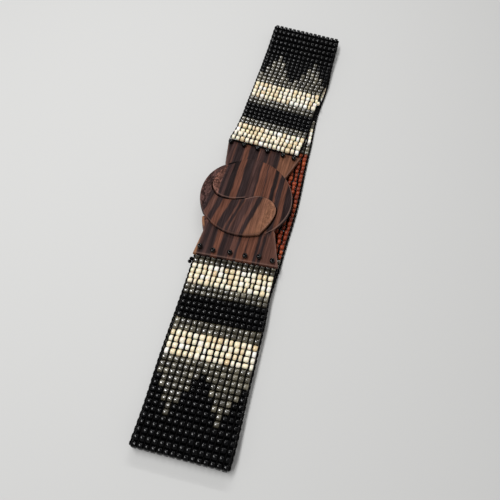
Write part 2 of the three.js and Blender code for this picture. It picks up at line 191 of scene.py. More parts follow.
# Heights
BACK_HEIGHT = BEAD_RADIUS
FRONT_HEIGHT = 3 * BEAD_RADIUS + PIECE_GAP
UPPER_EDGE_HEIGHT = BEAD_DIAMETER + PIECE_GAP
LOWER_EDGE_HEIGHT = 2 * BEAD_DIAMETER + 2 * PIECE_GAP
CLASP_TILT = math.atan(
    (LOWER_EDGE_HEIGHT - UPPER_EDGE_HEIGHT) / (UPPER_PLATE_REACH + LOWER_PLATE_REACH))
PLATE_ROW_HEIGHT = (
    UPPER_EDGE_HEIGHT + BOARD_THICKNESS + PIECE_GAP + BEAD_RADIUS + PLATE_ROW_LIFT)
UPPER_EDGE_Y = DISC_CENTRE[1] + UPPER_PLATE_REACH
LOWER_EDGE_Y = DISC_CENTRE[1] - LOWER_PLATE_REACH
FOLD_CENTRE_Y = FOLDED_LENGTH / 2 - BEAD_RADIUS - FOLD_RADIUS

# Beads: how far a bead's ends shift along its row, how much diameters vary, roundness of its
# profile, and the gap that the cord between two beads takes
BeadKind = namedtuple("BeadKind", "end_spread diameter_spread roundness cord_gap")
BEAD_KINDS = {
    "black": BeadKind(0.10, 0.02, 0.38, 0.74),
    "clear": BeadKind(0.12, 0.03, 0.30, 0.85),
    "cream": BeadKind(0.38, 0.08, 0.55, 1.02),
    "red": BeadKind(0.26, 0.09, 0.62, 1.30),
}
LARGEST_DIAMETER = 4.4
BEAD_HOLE_SHARE = 0.30
BEAD_SIDES = 14
BEAD_PROFILE_STEPS = 8
BEAD_WANDER = 0.08
BEAD_TURNS = (0.035, 0.03)

# Elastic cords between the columns, the thread through each row, and the wound edges
CORD_WIDTH = 1.0
CORD_HEIGHT = 1.7
CORD_WEAVE = 0.35
THREAD_WEAVE = 1.4 * CORD_WEAVE
THREAD_RADIUS = 0.3
EDGE_CORD_RADIUS = 0.55
EDGE_WRAP_RADIUS = 0.60
EDGE_CORD_PLACE = BAND_WIDTH / 2 - 0.75
OUTER_BEAD_END = EDGE_CORD_PLACE - 0.10
EDGE_WRAP_OFFSETS = (-0.85, -0.3, 0.3, 0.85)

# The knot at the lower plate's left corner, and the bead that sticks out at the far right
KNOT_PLACES = [(-31.0, -62.0, 8.6), (-31.6, -64.2, 8.2)]
KNOT_RADIUS = 0.9
KNOT_TURNS = (0.3, 1.2, 2.2)
KNOT_WIDTH = 0.4
KNOT_RISE = 0.9
KNOT_THREAD_RADIUS = 0.55
KNOT_STEPS = 12
STRAY_BEAD_PLACE = (26.9, 102.2, 8.8)
STRAY_BEAD_SIZE = (2.6, 2.6, 2.6)
STRAY_BEAD_TONE = 0.55

# The cord that finishes the last row on the upper plate
END_CORD_REACH = 1.9
END_CORD_DROP = 1.1
END_CORD_RADIUS = 0.6
END_CORD_SCALLOP = 0.15

# Carving: rounding of the plates, the hooks' rims and the carved line, and how the tops dome
BOARD_ROUNDING = 0.9
RIM_ROUNDING = 1.7
LINE_ROUNDING = 0.9
LEVEL_LINE_ROUNDING = 0.05
RIM_DOME = {"depth": 0.9, "width": 9.0}
HEAD_DOME = {"depth": 0.7, "width": 8.0}
HEAD_START = {"upper": 5.0, "lower": 1.0}
HEAD_RUN = 9.0
RAMP_BLEND = 1.6
HOOK_ROOT_HEIGHT = BOARD_THICKNESS / 3
SHARP_DEGREES = 38

# How strongly painted highlights pale the edges, from 0 to 1, and where the disc's right side gets a
# stronger painted highlight
HIGHLIGHT_REACH = 0.5
LINE_HIGHLIGHT = 0.34
RIM_HIGHLIGHT = 0.2
RIGHT_RIM_HIGHLIGHT = 0.5
RIGHT_RIM_START = 14.0
RIGHT_RIM_RUN = 16.0
FOOT_HIGHLIGHT_DEPTH = 1.5
HEIGHT_MARGIN = 0.1

# The lower half's head comes down to the other hook's tail at its upper left: where this
# starts and is full, counted along Y, and how far in from the carved line it reaches
MERGE_START = 4.0
MERGE_FULL = 15.0
MERGE_REACH = 16.0

# Points of a board's faces: rows along its outline, by degrees round the rounded edge and then
# by steps further in, and a triangular grid in the middle. A point stays where it is clear of
# the outline by this share of its row's depth, or of the grid
EDGE_ROW_DEGREES = (25, 45, 65, 90)
INNER_ROW_STEPS = (1.0, 2.4)
FACE_GRID = 1.6
ROW_CLEAR_SHARE = 0.93
GRID_CLEAR_SHARE = 0.5

# Wood tones, and the stripes charted across each face, in clasp millimetres
WOOD_TONES = {
    "black": (36, 28, 28), "dark": (45, 34, 34), "umber": (64, 45, 42), "brown": (84, 56, 48),
    "red": (98, 62, 49), "dull tan": (105, 70, 53), "tan": (114, 77, 60), "light": (124, 85, 65),
    # These two tones colour painted highlights on edges that catch the light
    "edge": (136, 96, 68), "edge_highlight": (164, 130, 118),
}
WOOD_STRIPES = {
    "upper plate": [
        (-36.0, -23.8, "dark"), (-23.4, -21.0, "umber"), (-20.5, -19.8, "brown"),
        (-19.4, -14.4, "dark"), (-13.7, -12.8, "umber"), (-12.3, -8.9, "red"), (-8.4, -1.9, "dark"),
        (-1.3, -0.6, "brown"), (-0.2, 3.2, "umber"), (3.6, 6.5, "dark"), (7.0, 8.2, "brown"),
        (8.6, 11.7, "umber"), (12.2, 15.2, "dark"), (16.2, 36.0, "dull tan"),
    ],
    "upper hook": [
        (-36.0, -28.8, "umber"), (-28.2, -25.6, "dark"), (-24.8, -21.4, "brown"),
        (-20.6, -17.3, "dark"), (-16.5, -11.6, "red"), (-10.9, -6.1, "dark"), (-5.5, -4.7, "brown"),
        (-4.3, -2.7, "dark"), (-2.3, -1.6, "brown"), (-1.2, 3.2, "umber"), (3.8, 5.6, "brown"),
        (6.3, 8.8, "dark"), (9.8, 14.8, "tan"), (16.0, 36.0, "light"),
    ],
    "lower plate": [
        (-36.0, -20.3, "umber"), (-19.6, -17.6, "dark"), (-17.1, -15.4, "umber"),
        (-14.9, -12.1, "dark"), (-11.4, -7.8, "red"), (-7.1, -3.9, "dark"), (-3.3, 0.0, "umber"),
        (0.6, 3.7, "brown"), (4.3, 5.6, "dark"), (6.3, 10.5, "red"), (10.8, 11.0, "dark"),
        (11.4, 17.0, "red"), (17.7, 19.4, "dark"), (19.8, 20.5, "brown"), (20.9, 22.6, "dark"),
        (23.4, 36.0, "brown"),
    ],
    "lower hook": [
        (-36.0, -20.9, "brown"), (-20.3, -18.3, "dark"), (-17.9, -16.2, "umber"),
        (-15.7, -12.1, "black"), (-11.3, -7.3, "red"), (-6.7, -1.4, "dark"), (-0.9, 3.8, "umber"),
        (4.4, 5.0, "dark"), (5.6, 9.9, "red"), (10.2, 10.6, "umber"), (11.0, 16.2, "red"),
        (16.8, 19.2, "black"), (19.8, 20.7, "red"), (21.2, 24.4, "dark"), (25.0, 27.9, "red"),
        (28.4, 36.0, "dark"),
    ],
}
WOOD_SPAN = 36.0
HOOK_SLANTS = {"upper": 0.19, "lower": -0.02}
HOOK_MIDDLES = {"upper": -17.5, "lower": 10.0}
HOOK_JOINS = {"upper": 26.0, "lower": -27.0}

# Painted highlights: pale strips along the left edge, which faces the light, where x + lean * y is
# less than the reach, from top to bottom
LitEdgeStrip = namedtuple("LitEdgeStrip", "lean reach top bottom")
LIT_EDGE_STRIPS = {
    "upper": [],
    "lower": [LitEdgeStrip(0.40, -34.9, -22.0, -32.0), LitEdgeStrip(0.05, -24.2, -36.0, -60.0)],
}

# Curly figure in the hooks' wood: it comes in across from start to end
Curl = namedtuple("Curl", "start end strength")
CURLS = {
    "upper": [Curl(-24.5, -27.5, 1.0), Curl(13.0, 20.0, 0.3)],
    "lower": [Curl(-19.0, -22.0, 1.0)],
}

# The wood's stripes are warped by noises that differ in size, then shaded by streaks, lines and
# fibres: how the noise is stretched along the grain, its scale, detail and roughness, and the
# range of noise that gives a range of shades
Warp = namedtuple("Warp", "stretch scale detail reach")
WARPS = [Warp(0.5, 0.12, 2.0, 1.6), Warp(0.12, 0.9, 3.0, 1.2)]
Grain = namedtuple("Grain", "stretch scale roughness shades")
GRAINS = [
    Grain(0.05, 0.55, 0.6, (0.32, 0.68, 0.68, 1.34)),
    Grain(0.04, 1.5, 0.65, (0.34, 0.66, 0.60, 1.36)),
    Grain(0.03, 7.0, 0.7, (0.35, 0.65, 0.88, 1.12)),
]
GRAIN_DETAIL = 4.0
CURL_SHADES = (0.46, 0.56, 0.50, 2.3)
# Painted shade low on the hooks' walls: the range of the attribute and the shades it gives
PAINTED_WALL_SHADES = (-0.8, 0.0, 0.12, 1.0)
WOOD_ROUGHNESS = (0.3, 0.7, 0.42, 0.52)
JOIN_BLUR = 2.0
PALE_SIDE_BLUR = 0.3
PALE_END_OVERSHOOT = 0.5
PALE_END_FADE = 1.5

# Shading of the glass: the noise's range and the shades it gives, and noise scales per metre
CLOUD_RANGE = (0.3, 0.7)
CLOUD_SHADES = (0.88, 1.08)
CLOUD_SCALE = 420.0
RIPPLE_SCALE = 900.0
THREAD_FIBRE_SCALE = 2600.0
BUMP_DEPTH = 0.0002


def ease(t):
    """Goes smoothly from 0 to 1 as t does."""
    t = np.clip(t, 0, 1)
    return t * t * (3 - 2 * t)


def smooth_least(a, b, width):
    """The lesser of a and b, rounded over where they cross."""
    h = np.clip(0.5 + 0.5 * (b - a) / width, 0, 1)
    return b + (a - b) * h - width * h * (1 - h)


# The band's centre line and course


def centre_line(step=0.5):
    """The band's middle: distances along it, Y and height there, and where each stretch lies."""
    fold_top = BACK_HEIGHT + 2 * FOLD_RADIUS

    def lying(y):
        bulge = ease((np.abs(y) - FOLD_CENTRE_Y + FOLD_EASING) / FOLD_EASING)
        return FRONT_HEIGHT + (fold_top - FRONT_HEIGHT) * bulge

    def stretch(start, end):
        return np.linspace(start, end, int(abs(end - start) / step) + 1)

    def turn(side):
        angle = np.linspace(0, math.pi, 60) + (-math.pi / 2 if side > 0 else math.pi / 2)
        y = side * FOLD_CENTRE_Y + FOLD_RADIUS * np.cos(angle)
        return y, BACK_HEIGHT + FOLD_RADIUS + FOLD_RADIUS * np.sin(angle)

    near = stretch(LOWER_EDGE_Y + END_ROW_LAP, -FOLD_CENTRE_Y)
    back = stretch(-FOLD_CENTRE_Y, FOLD_CENTRE_Y)
    far_end = UPPER_EDGE_Y + PLATE_ROW_OFFSET
    far = stretch(FOLD_CENTRE_Y, far_end)
    climb = ease((far_end + CLIMB_LENGTH - far) / CLIMB_LENGTH)
    stretches = {
        "near front": (near, lying(near)),
        "near fold": turn(-1),
        "back": (back, np.full_like(back, BACK_HEIGHT)),
        "far fold": turn(1),
        "far front": (far, lying(far) + (PLATE_ROW_HEIGHT - FRONT_HEIGHT) * climb),
    }
    y, z = np.concatenate([np.array(line) for line in stretches.values()], axis=1)
    distance = np.concatenate([[0], np.cumsum(np.hypot(np.diff(y), np.diff(z)))])
    spans, first = {}, 0
    for name, (line_y, _) in stretches.items():
        spans[name] = (distance[first], distance[first + len(line_y) - 1])
        first += len(line_y)
    return distance, np.array([y, z]), spans


LINE_DISTANCE, LINE, LINE_SPANS = centre_line()
LINE_LENGTH = LINE_DISTANCE[-1]
COURSE_DISTANCES = np.array([
    np.interp(row.share, (0, 1), LINE_SPANS[row.stretch]) for row in COURSE])


def course_at(distance):
    """Shift and width in millimetres and slope of the band at these distances."""
    i = np.clip(np.searchsorted(COURSE_DISTANCES, distance), 1, len(COURSE) - 1)
    run = COURSE_DISTANCES[i] - COURSE_DISTANCES[i - 1]
    t = ease((distance - COURSE_DISTANCES[i - 1]) / run)

    def mix(key):
        values = np.array([getattr(row, key) for row in COURSE])
        return values[i - 1] + t * (values[i] - values[i - 1])

    return mix("shift") * BAND_WIDTH, mix("width") * BAND_WIDTH, mix("slope")


def line_at(distance):
    """Y and height of the band's middle at these distances."""
    return np.array([np.interp(distance, LINE_DISTANCE, values) for values in LINE])


def band_frame(distance, across):
    """Place and axes of points on the band: across is counted from its middle, unscaled.

    Gives the places and the unit directions across, along and out of the band.
    """
    distance, across = np.broadcast_arrays(distance, across)
    shift, width, slope = course_at(distance)
    sideways = across * width / BAND_WIDTH
    y, z = line_at(distance)
    step = 0.4
    along = line_at(distance + step) - line_at(distance - step)
    along_y, along_z = along / np.hypot(*along)
    zero = np.zeros_like(y)
    places = np.stack([shift + sideways, y + sideways * slope, z], axis=-1)
    tilt = np.hypot(1, slope)
    axes = (
        np.stack([1 / tilt, slope / tilt, zero], axis=-1),
        np.stack([zero, along_y, along_z], axis=-1),
        np.stack([zero, along_z, -along_y], axis=-1),
    )
    return places, axes


Row = namedtuple("Row", "distance diameter layer colours")


def bead_rows():
    """Every row: distance, bead diameter, layer and colours, the last one on the upper plate."""
    run_length = sum(run.rows * run.pitch for run in ROW_RUNS)
    stretch = (LINE_LENGTH - PLATE_ROW_REACH) / run_length
    rows, start = [], 0.0
    for run in ROW_RUNS:
        pitch = run.pitch * stretch
        for i in range(run.rows):
            if run.pattern.startswith("zigzag"):
                from_cream = i if run.pattern == "zigzag out" else run.rows - 1 - i
                colours = ["clear" if from_cream < height else "black" for height in ZIGZAG_HEIGHTS]
            else:
                colours = [run.pattern] * COLUMN_COUNT
            diameter = min(LARGEST_DIAMETER, pitch * run.fill)
            rows.append(Row(start + (i + 0.5) * pitch, diameter, run.layer, colours))
        start += run.rows * pitch
    rows.append(Row(LINE_LENGTH, BEAD_DIAMETER, "front", ["cream"] * COLUMN_COUNT))
    return rows


def cord_places():
    """Where the cords cross each row, counted across from the band's middle.

    The cords give way to wide and narrow beads, so each row has its own places.
    """
    even = np.linspace(-OUTER_BEAD_END, OUTER_BEAD_END, COLUMN_COUNT + 1)
    places = []
    for row in ROWS:
        spread = np.array([BEAD_KINDS[colour].end_spread for colour in row.colours])
        between = np.concatenate([[0], np.minimum(spread[1:], spread[:-1]), [0]])
        shift = np.clip(RANDOM.normal(0, 1, COLUMN_COUNT + 1), -2, 2) * between
        places.append(even + shift)
    return np.array(places)


ROWS = bead_rows()
ROW_DISTANCES = np.array([row.distance for row in ROWS])
CORD_PLACES = cord_places()


def between_rows(steps):
    """Row numbers, with so many steps from row to row, and their distances along the band."""
    numbers = np.linspace(0, len(ROWS) - 1, (len(ROWS) - 1) * steps + 1)
    return numbers, np.interp(numbers, np.arange(len(ROWS)), ROW_DISTANCES)


# From belt and clasp coordinates to the model's


def clasp_matrix():
    middle_reach = (UPPER_PLATE_REACH - LOWER_PLATE_REACH) / 2
    middle_height = (UPPER_EDGE_HEIGHT + LOWER_EDGE_HEIGHT) / 2
    place = Vector((*DISC_CENTRE, middle_height + middle_reach * math.tan(CLASP_TILT)))
    return Matrix.Translation(place) @ Matrix.Rotation(-CLASP_TILT, 4, "X")


def hole_places(which):
    plate = PLATES[which]
    places = []
    for along, inset in CORD_HOLES[which]:
        across = along * PLATE_WIDTH
        edge = plate.side * plate.reach + across * plate.slope
        places.append((plate.middle + across, edge - plate.side * inset))
    return places


CLASP = clasp_matrix()
STOP_MIDDLE = BOARD_THICKNESS + PIECE_GAP + STOP_HEIGHT / 2


def belt_shift():
    """How far the model's origin is from the belt's, from where one stop bead is."""
    low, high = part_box("stop_bead_upper_1")
    in_belt = CLASP @ Vector((*hole_places("upper")[0], STOP_MIDDLE))
    return (low + high) / 2 - in_belt * MM


SHIFT = belt_shift()


def from_clasp(points):
    turn = np.array(CLASP.to_3x3())
    return np.asarray(points) @ turn.T + np.array(CLASP.translation)


# Meshes


def add_object(name, data):
    item = bpy.data.objects.new(name, data)
    bpy.context.scene.collection.objects.link(item)
    return item


def make_object(name, points, faces, material):
    """An object from belt coordinates, which rides on the belt's body."""
    mesh = bpy.data.meshes.new(name)
    mesh.from_pydata((np.asarray(points) * MM + np.array(SHIFT)).tolist(), [], faces)
    mesh.validate()
    mesh.shade_smooth()
    mesh.materials.append(material)
    item = add_object(name, mesh)
    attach(item, BODY)
    return item


def set_attribute(item, name, values):
    """Gives each point a number of its own for the material to read."""
    attribute = item.data.attributes.new(name, "FLOAT", "POINT")
    attribute.data.foreach_set("value", np.asarray(values, np.float32))


def circle(count):
    """Angles round a circle."""
    return 2 * math.pi * np.arange(count) / count


def ring_faces(rings, sides, closed):
    """Faces between rings of points, the rings in order, joined round when closed."""
    faces = []
    for i in range(rings if closed else rings - 1):
        for j in range(sides):
            k = (j + 1) % sides
            low, high = i * sides, ((i + 1) % rings) * sides
            faces.append((low + j, low + k, high + k, high + j))
    if not closed:
        faces.append(tuple(range(sides - 1, -1, -1)))
        faces.append(tuple(range((rings - 1) * sides, rings * sides)))
    return faces


def bead(length, diameter, hole_radius, roundness, steps, sides):
    """A bead, whose profile goes round from one end of the hole to the other and back through it.

    Columns of its points: along the hole, then the two across it.
    """
    angle = np.linspace(0, math.pi, steps)
    along = 0.5 * length * np.sign(np.cos(angle)) * np.abs(np.cos(angle)) ** roundness
    radius = hole_radius + (diameter / 2 - hole_radius) * np.abs(np.sin(angle)) ** roundness
    points = np.array([
        (a, r * math.cos(t), r * math.sin(t))
        for a, r in zip(along, radius) for t in circle(sides)])
    return points, ring_faces(steps, sides, closed=True)


def bead_template(roundness):
    """A seed bead of length and diameter 1."""
    return bead(1, 1, BEAD_HOLE_SHARE / 2, roundness, BEAD_PROFILE_STEPS, BEAD_SIDES)


def small_turns(tilts, points):
    """The template's points turned a little about the second and third axes, for each bead."""
    u, v, w = points.T
    a, b = np.array(tilts)[:, :, None]
    return np.stack([u - a * v - b * w, v + a * u, w + b * u], axis=-1)


def make_beads(colour, layer, material):
    """All beads of one colour in one layer of the band, as one mesh, or None without any."""
    kind = BEAD_KINDS[colour]
    chosen = [
        (row.distance, row.diameter, *CORD_PLACES[i, column:column + 2])
        for i, row in enumerate(ROWS) if row.layer == layer
        for column in range(COLUMN_COUNT) if row.colours[column] == colour]
    if not chosen:
        return None
    distance, diameter, left, right = np.array(chosen).T
    count = len(chosen)

    def vary(spread):
        return np.clip(RANDOM.normal(0, spread, count), -2 * spread, 2 * spread)

    length = right - left - kind.cord_gap
    diameter = diameter * (1 + vary(kind.diameter_spread))
    distance = distance + vary(BEAD_WANDER)
    places, (to_side, along, out) = band_frame(distance, (left + right) / 2)
    lying = -out[:, 2] > 0.5
    places[:, 2] += np.where(lying, diameter / 2 - BEAD_RADIUS, 0)
    template, faces = bead_template(kind.roundness)
    turned = small_turns([vary(spread) for spread in BEAD_TURNS], template)
    points = places[:, None, :]
    for k, (extent, axis) in enumerate([(length, to_side), (diameter, along), (diameter, out)]):
        points = points + turned[:, :, k:k + 1] * extent[:, None, None] * axis[:, None, :]
    size = len(template)
    all_faces = (np.array(faces)[None] + size * np.arange(count)[:, None, None]).reshape(-1, 4)
    item = make_object(
        f"{colour}_beads_{layer}", points.reshape(-1, 3), all_faces.tolist(), material)
    set_attribute(item, "tone", np.repeat(RANDOM.random(count), size))
    return item


def tube(points, side_axes, out_axes, half_width, half_height=None, sides=8):
    """Points and faces of a closed tube along the given points, round or elliptic."""
    turn, half_height = circle(sides), half_height or half_width
    side_axes, out_axes = [
        np.broadcast_to(axes, points.shape)[:, None, :] for axes in (side_axes, out_axes)]
    rings = (
        points[:, None, :]
        + np.cos(turn)[None, :, None] * half_width * side_axes
        + np.sin(turn)[None, :, None] * half_height * out_axes)
    return rings.reshape(-1, 3), ring_faces(len(points), sides, closed=False)


class Joined:
    """Collects the points and faces of many small shapes of the band for one mesh."""

    def __init__(self):
        self.points, self.faces, self.size = [], [], 0

    def add(self, points, faces):
        self.points.append(points)
        self.faces += [tuple(self.size + i for i in face) for face in faces]
        self.size += len(points)

    def make(self, name, material):
        make_object(name, np.concatenate(self.points), self.faces, material)


def make_cords(material):
    """The elastic cords between the columns, each weaving over and under the row threads.

    With them go the cord along the last row and the short ends through the stop beads.
    """
    cords = Joined()
    index, distance = between_rows(3)
    for k in range(1, COLUMN_COUNT):
        across = np.interp(index, np.arange(len(ROWS)), CORD_PLACES[:, k])
        places, (side, _, out) = band_frame(distance, across)
        weave = CORD_WEAVE * np.cos(math.pi * (index + k))
        points = places + weave[:, None] * out
        cords.add(*tube(points, side, out, CORD_WIDTH / 2, CORD_HEIGHT / 2))
    end_across = np.linspace(-OUTER_BEAD_END, OUTER_BEAD_END, 8 * COLUMN_COUNT + 1)
    places, (_, along, out) = band_frame(LINE_LENGTH, end_across)
    waves = 2 * math.pi * COLUMN_COUNT * np.linspace(0, 1, len(end_across))
    scallop = END_CORD_SCALLOP * np.cos(waves)
    places = places + (END_CORD_REACH - scallop)[:, None] * along - END_CORD_DROP * out
    cords.add(*tube(places, along, out, END_CORD_RADIUS))
    across, along, _ = np.array(CLASP.to_3x3()).T
    top = STOP_MIDDLE + STOP_HEIGHT / 2 + STOP_CORD_RISE
    for which in PLATES:
        for x, y in hole_places(which):
            ends = from_clasp([(x, y, -STOP_CORD_DROP), (x, y, top)])
            cords.add(*tube(ends, across, along, STOP_CORD_RADIUS))
    cords.make("elastic_cords", material)


def make_row_threads(material):
    """The thread through each row of beads, from one edge cord to the other."""
    threads = Joined()
    for i, row in enumerate(ROWS):
        middles = (CORD_PLACES[i, 1:] + CORD_PLACES[i, :-1]) / 2
        across = np.sort(np.concatenate([CORD_PLACES[i], middles]))
        places, (_, along, out) = band_frame(row.distance, across)
        step = np.arange(len(across))
        weave = np.where(step % 2 == 0, -THREAD_WEAVE * np.cos(math.pi * (i + step / 2)), 0)
        points = places + weave[:, None] * out
        threads.add(*tube(points, along, out, THREAD_RADIUS, sides=6))
    threads.make("row_threads", material)


def make_stray_bead(material):
    """The small cream bead that sticks out at the far front layer's right edge."""
    points, faces = bead_template(BEAD_KINDS["cream"].roundness)
    points = points[:, [1, 0, 2]] * STRAY_BEAD_SIZE + STRAY_BEAD_PLACE
    item = make_object("stray_cream_bead", points, faces, material)
    set_attribute(item, "tone", np.full(len(points), STRAY_BEAD_TONE))


def knot(place):
    """A small lump of wound thread, as points and faces."""
    points, faces = [], []
    for i, turn in enumerate(KNOT_TURNS):
        a = np.array([math.cos(turn), math.sin(turn), 0.0])
        b = np.array([-KNOT_WIDTH * math.sin(turn), KNOT_WIDTH * math.cos(turn), KNOT_RISE])
        ring_points, ring_quads = ring(
            np.array(place), a, b, np.cross(a, b), KNOT_RADIUS, KNOT_THREAD_RADIUS, KNOT_STEPS)
        faces += [tuple(i * len(ring_points) + k for k in quad) for quad in ring_quads]
        points.append(ring_points)
    return np.concatenate(points), faces


def ring(centre, axis_a, axis_b, axis_c, major, minor, steps=8, sides=6):
    """A small torus round axis_c."""
    turn, tube_turn = circle(steps), circle(sides)
    outward = np.cos(turn)[:, None] * axis_a + np.sin(turn)[:, None] * axis_b
    points = (
        centre + outward[:, None, :] * (major + minor * np.cos(tube_turn))[None, :, None]
        + np.sin(tube_turn)[None, :, None] * minor * axis_c)
    return points.reshape(-1, 3), ring_faces(steps, sides, closed=True)


def make_edges(material):
    """The outer cord along each edge, with the row threads wound round it."""
    edges = Joined()
    _, distance = between_rows(2)
    for edge in (-EDGE_CORD_PLACE, EDGE_CORD_PLACE):
        places, (side, _, out) = band_frame(distance, edge)
        edges.add(*tube(places, side, out, EDGE_CORD_RADIUS))
        places, (side, along, out) = band_frame(ROW_DISTANCES, edge)
        for place, a, b, c in zip(places, side, out, along):
            for offset in EDGE_WRAP_OFFSETS:
                edges.add(*ring(place + offset * c, a, b, c, EDGE_WRAP_RADIUS, THREAD_RADIUS))
    for place in KNOT_PLACES:
        edges.add(*knot(place))
    edges.make("wound_edges", material)


# Clasp outlines, in clasp coordinates


def on_disc(degrees, radius):
    angle = np.radians(degrees)
    return np.stack([radius * np.cos(angle), radius * np.sin(angle)], axis=-1)


def rim_points(start, end, radius, step=1.5):
    """Points on the rim between two directions, without the two ends."""
    count = max(1, round(abs(end - start) / step))
    return on_disc(np.linspace(start, end, count + 1)[1:-1], radius)


def curve_points(table, radius, offset, first=0.0, last=1.0, steps=200):
    """A smooth curve through the table's points, moved sideways: positive to its left.

    The offset is one distance or one for each point of the table.
    """
    knots = np.array(table) * radius
    t = np.linspace(first, last, steps + 1) * (len(knots) - 1)
    i = np.minimum(t.astype(int), len(knots) - 2)
    f = (t - i)[:, None]
    p1, p2 = knots[i], knots[i + 1]
    before = knots[np.maximum(i - 1, 0)]
    after = knots[np.minimum(i + 2, len(knots) - 1)]
    v1, v2 = 0.5 * (p2 - before), 0.5 * (after - p1)
    cubic, square = 2 * p1 - 2 * p2 + v1 + v2, -3 * p1 + 3 * p2 - 2 * v1 - v2
    points = cubic * f ** 3 + square * f ** 2 + v1 * f + p1
    tangent = 3 * cubic * f ** 2 + 2 * square * f + v1
    tangent /= np.linalg.norm(tangent, axis=1)[:, None]
    sideways = np.interp(t, np.arange(len(knots)), np.broadcast_to(offset, len(knots)))
    return points + sideways[:, None] * np.stack([-tangent[:, 1], tangent[:, 0]], axis=-1)


def polyline(corners, step=1.2):
    """Points on the straight sides from corner to corner."""
    sides = []
    for start, end in zip(corners, corners[1:]):
        count = max(1, round(np.linalg.norm(end - start) / step))
        sides.append(start + np.arange(count)[:, None] / count * (end - start))
    return np.concatenate([*sides, corners[-1:]])


def foot_outline(which):
    """Outline of a half's plate with its part of the disc, which lies under the hooks."""
    plate = PLATES[which]
    radius = DISC_RADIUS - FOOT_SETBACK
    rim_ends = PLATE_SIDE_ENDS[which]
    first, last = ("left", "right")[::plate.side]
    line_start, line_end = FOOT_LINE_ENDS[::-plate.side]
    line = curve_points(FOOT_LINE, radius, plate.side * PIECE_GAP / 2, steps=FOOT_LINE_STEPS)
    first_side, last_side = [
        [np.array(point) * DISC_RADIUS for point in PLATE_SIDES[which][key]]
        for key in (first, last)]
    half = plate.side * PLATE_WIDTH / 2
    corners = [
        np.array([plate.middle + across, plate.side * plate.reach + across * plate.slope])
        for across in (-half, half)]
    return np.concatenate([
        polyline([*first_side, *corners, *last_side[::-1]]),
        rim_points(rim_ends[last], line_start, radius),
        line[::-plate.side],
        rim_points(line_end, rim_ends[first], radius)])


def hook_edges(which):
    """The two stretches of a hook's outline: along the carved line, and round the rim."""
    start, end = CARVED_LINE_ENDS
    offsets = -PLATES[which].side * np.array(CARVED_GAPS) / 2
    if which == "upper":
        first, last, rim_ends = TAIL_CUT_SHARE, 1, (end + 360, start + TAIL_CUT_DEGREES)
    else:
        first, last, rim_ends = 0, 1 - TAIL_CUT_SHARE, (end + TAIL_CUT_DEGREES, start)
    line = curve_points(CARVED_LINE, DISC_RADIUS, offsets, first, last)
    return line, rim_points(*rim_ends, DISC_RADIUS)


def signed_area(outline):
    x, y = outline.T
    return 0.5 * np.sum(x * np.roll(y, -1) - np.roll(x, -1) * y)


def distance_to(points, outline, closed=True):
    """Distance from each point to an outline, or to a line that isn't closed."""
    start, end = outline, np.roll(outline, -1, axis=0)
    if not closed:
        start, end = start[:-1], end[:-1]
    run = end - start
    length = np.maximum((run ** 2).sum(1), 1e-12)
    t = np.clip(((points[:, None] - start) * run).sum(2) / length, 0, 1)
    nearest = start + t[:, :, None] * run
    return np.sqrt(((points[:, None] - nearest) ** 2).sum(2).min(1))


def is_inside(points, outline):
    x, y = points[:, 0:1], points[:, 1:2]
    x1, y1 = outline[:, 0], outline[:, 1]
    x2, y2 = np.roll(x1, -1), np.roll(y1, -1)
    straddles = (y1 > y) != (y2 > y)
    rise = np.where(y2 == y1, 1, y2 - y1)
    crossing = x1 + (y - y1) / rise * (x2 - x1)
    return (np.sum(straddles & (x < crossing), axis=1) % 2) == 1


def inner_points(outline, depths, grid):
    """Points inside an outline: rows at the given depths, then a triangular grid."""
    tangent = np.roll(outline, -1, axis=0) - np.roll(outline, 1, axis=0)
    tangent /= np.linalg.norm(tangent, axis=1)[:, None]
    inward = np.stack([-tangent[:, 1], tangent[:, 0]], axis=-1)
    found = []
    for depth in depths:
        ring_row = outline + depth * inward
        clear = distance_to(ring_row, outline) > ROW_CLEAR_SHARE * depth
        found.append(ring_row[is_inside(ring_row, outline) & clear])
    low, high = outline.min(0), outline.max(0)
    rows = np.arange(low[1], high[1], grid * math.sqrt(3) / 2)
    columns = np.arange(low[0], high[0], grid)
    lattice = np.array([
        (x + (i % 2) * grid / 2, y) for i, y in enumerate(rows) for x in columns])
    clear = distance_to(lattice, outline) > depths[-1] + GRID_CLEAR_SHARE * grid
    found.append(lattice[is_inside(lattice, outline) & clear])
    return np.concatenate(found)


def rounded(distance, radius):
    """How far a rounded edge lies below the face, at this distance from the outline."""
    inside = np.clip(radius - distance, 0, radius)
    return radius - np.sqrt(np.maximum(radius ** 2 - inside ** 2, 0))


def shell(outline, top, bottom, rounding):
    """A closed board: top and bottom give the heights at points in plan."""
    if signed_area(outline) < 0:
        outline = outline[::-1]
    depths = [rounding * (1 - math.cos(math.radians(a))) for a in EDGE_ROW_DEGREES]
    depths += [rounding + step for step in INNER_ROW_STEPS]
    seeds = np.concatenate([outline, inner_points(outline, depths, FACE_GRID)])
    count = len(outline)
    flat, _, triangles, *_ = delaunay_2d_cdt(
        [Vector(p) for p in seeds], [], [list(range(count))], 1, 1e-5)
    flat = np.array([tuple(p) for p in flat])
    size = len(flat)
    points = np.concatenate([
        np.column_stack([flat, top(flat)]), np.column_stack([flat, bottom(flat)])])
    faces = []
    for a, b, c in triangles:
        faces.append((a, b, c))
        faces.append((size + c, size + b, size + a))
    for i in range(count):
        j = (i + 1) % count
        faces.append((i, size + i, size + j, j))
    return points, faces


def dome(distance, depth, width):
    """How far a domed top lies below its crown, at this distance from its edge."""
    return depth * (1 - np.clip(distance / width, 0, 1)) ** 2


